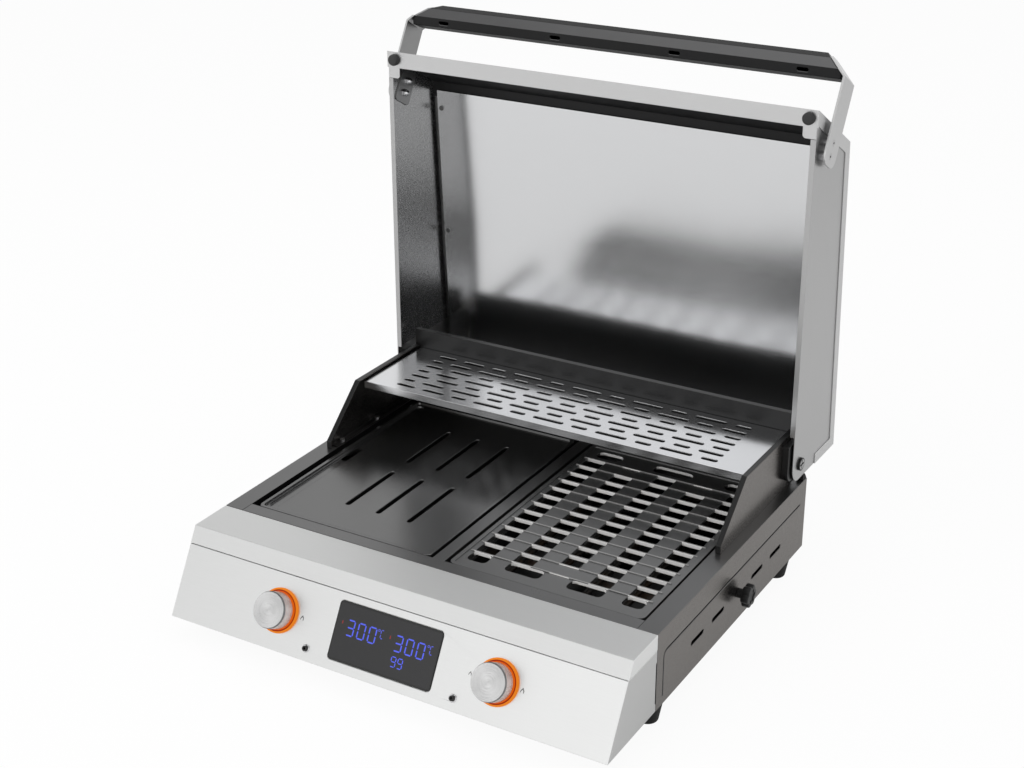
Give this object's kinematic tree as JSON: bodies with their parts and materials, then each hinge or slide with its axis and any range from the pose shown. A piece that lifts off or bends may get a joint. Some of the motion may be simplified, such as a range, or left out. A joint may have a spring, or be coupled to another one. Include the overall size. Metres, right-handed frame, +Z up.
{
  "type": "electric grill",
  "caption": "Tabletop electric grill with a hinged lid standing open, a griddle plate, a ridged grate, a warming shelf and a sloped control panel with display and knobs.",
  "frame": {"origin": "on the table, under the middle of the box round the whole part with its lid open", "axes": "+X to the right seen from the front, +Y towards the back, +Z up"},
  "size_m": [0.594, 0.607, 0.6241],
  "materials": {
    "black_coat": "satin",
    "stainless": "brushed",
    "panel_steel": "brushed",
    "bright_steel": "satin",
    "enamel": "gloss",
    "plate_coat": "satin",
    "rubber_black": "matte",
    "knob_metal": "satin",
    "display_glass": "gloss",
    "amber_light": "gloss",
    "circuit_board": "matte",
    "ceramic": "matte",
    "nylon": "matte",
    "fastener": "gloss",
    "heater_tube": "satin",
    "dark_plastic": "matte"
  },
  "bodies": {
    "base": {"bottom_pan": "black_coat", "side_panel_left": "black_coat", "side_panel_right": "black_coat", "front_rim": "black_coat", "rear_rim": "black_coat", "rear_panel": "black_coat", "bulkhead": "bright_steel", "centre_divider": "black_coat", "fireboxes": "enamel", "heating_element_left": "heater_tube", "heating_element_right": "heater_tube", "element_supports": "bright_steel", "element_terminals": "ceramic", "temperature_sensors": "bright_steel", "tray_rails": "bright_steel", "feet": "rubber_black", "base_screws": "fastener", "front_cap": "stainless", "control_panel": "panel_steel", "display_window": "display_glass", "display_module": "dark_plastic", "display_board": "circuit_board", "power_board": "circuit_board", "relays": "dark_plastic", "encoders": "dark_plastic", "light_rings": "amber_light", "probe_sockets": "fastener", "clamp_nuts": "fastener", "power_inlet": "dark_plastic", "guard_left": "black_coat", "guard_right": "black_coat", "guard_rear": "black_coat", "shelf_rails": "black_coat", "hinge_brackets": "black_coat", "hinge_pins": "fastener", "hinge_washers": "nylon", "lid_stops": "rubber_black"},
    "lid": {"lid_shell": "stainless", "lid_side_left": "stainless", "lid_side_right": "stainless", "lid_lining": "enamel", "lid_liner": "bright_steel", "liner_screws": "fastener", "lid_bumpers": "rubber_black", "handle_bar": "black_coat", "handle_arms": "stainless", "arm_spacers": "fastener", "arm_screws": "fastener", "arm_nuts": "bright_steel"},
    "left_knob": {"knob_left": "knob_metal", "shaft_left": "fastener"},
    "right_knob": {"knob_right": "knob_metal", "shaft_right": "fastener"},
    "left_clamp": {"star_knob_left": "rubber_black"},
    "right_clamp": {"star_knob_right": "rubber_black"},
    "griddle": {"griddle_plate": "plate_coat"},
    "grate": {"grill_grate": "plate_coat"},
    "shelf": {"warming_shelf": "bright_steel"},
    "tray": {"drip_tray": "bright_steel"}
  },
  "joints": [
    {"name": "lid_hinge", "type": "hinge", "parent": "base", "child": "lid", "pos_m": [0, 0.19313, 0.1485], "axis": [1, 0, 0], "range_deg": [0, 90]},
    {"name": "left_knob_turn", "type": "hinge", "parent": "base", "child": "left_knob", "pos_m": [-0.14, -0.27491, 0.06552], "axis": [0, -0.8688, 0.4951], "continuous": true},
    {"name": "right_knob_turn", "type": "hinge", "parent": "base", "child": "right_knob", "pos_m": [0.14, -0.27491, 0.06552], "axis": [0, -0.8688, 0.4951], "continuous": true},
    {"name": "left_clamp_turn", "type": "hinge", "parent": "base", "child": "left_clamp", "pos_m": [-0.28, 0.01873, 0.0626], "axis": [-1, 0, 0], "continuous": true},
    {"name": "right_clamp_turn", "type": "hinge", "parent": "base", "child": "right_clamp", "pos_m": [0.28, 0.01873, 0.0626], "axis": [1, 0, 0], "continuous": true},
    {"name": "griddle_lift", "type": "slide", "parent": "base", "child": "griddle", "axis": [0, 0, 1], "range_m": [0, 0.035]},
    {"name": "grate_lift", "type": "slide", "parent": "base", "child": "grate", "axis": [0, 0, 1], "range_m": [0, 0.035]},
    {"name": "shelf_lift", "type": "slide", "parent": "base", "child": "shelf", "axis": [0, 0, 1], "range_m": [0, 0.02]},
    {"name": "tray_slide", "type": "slide", "parent": "base", "child": "tray", "axis": [0, 1, 0], "range_m": [0, 0.25]}
  ]
}
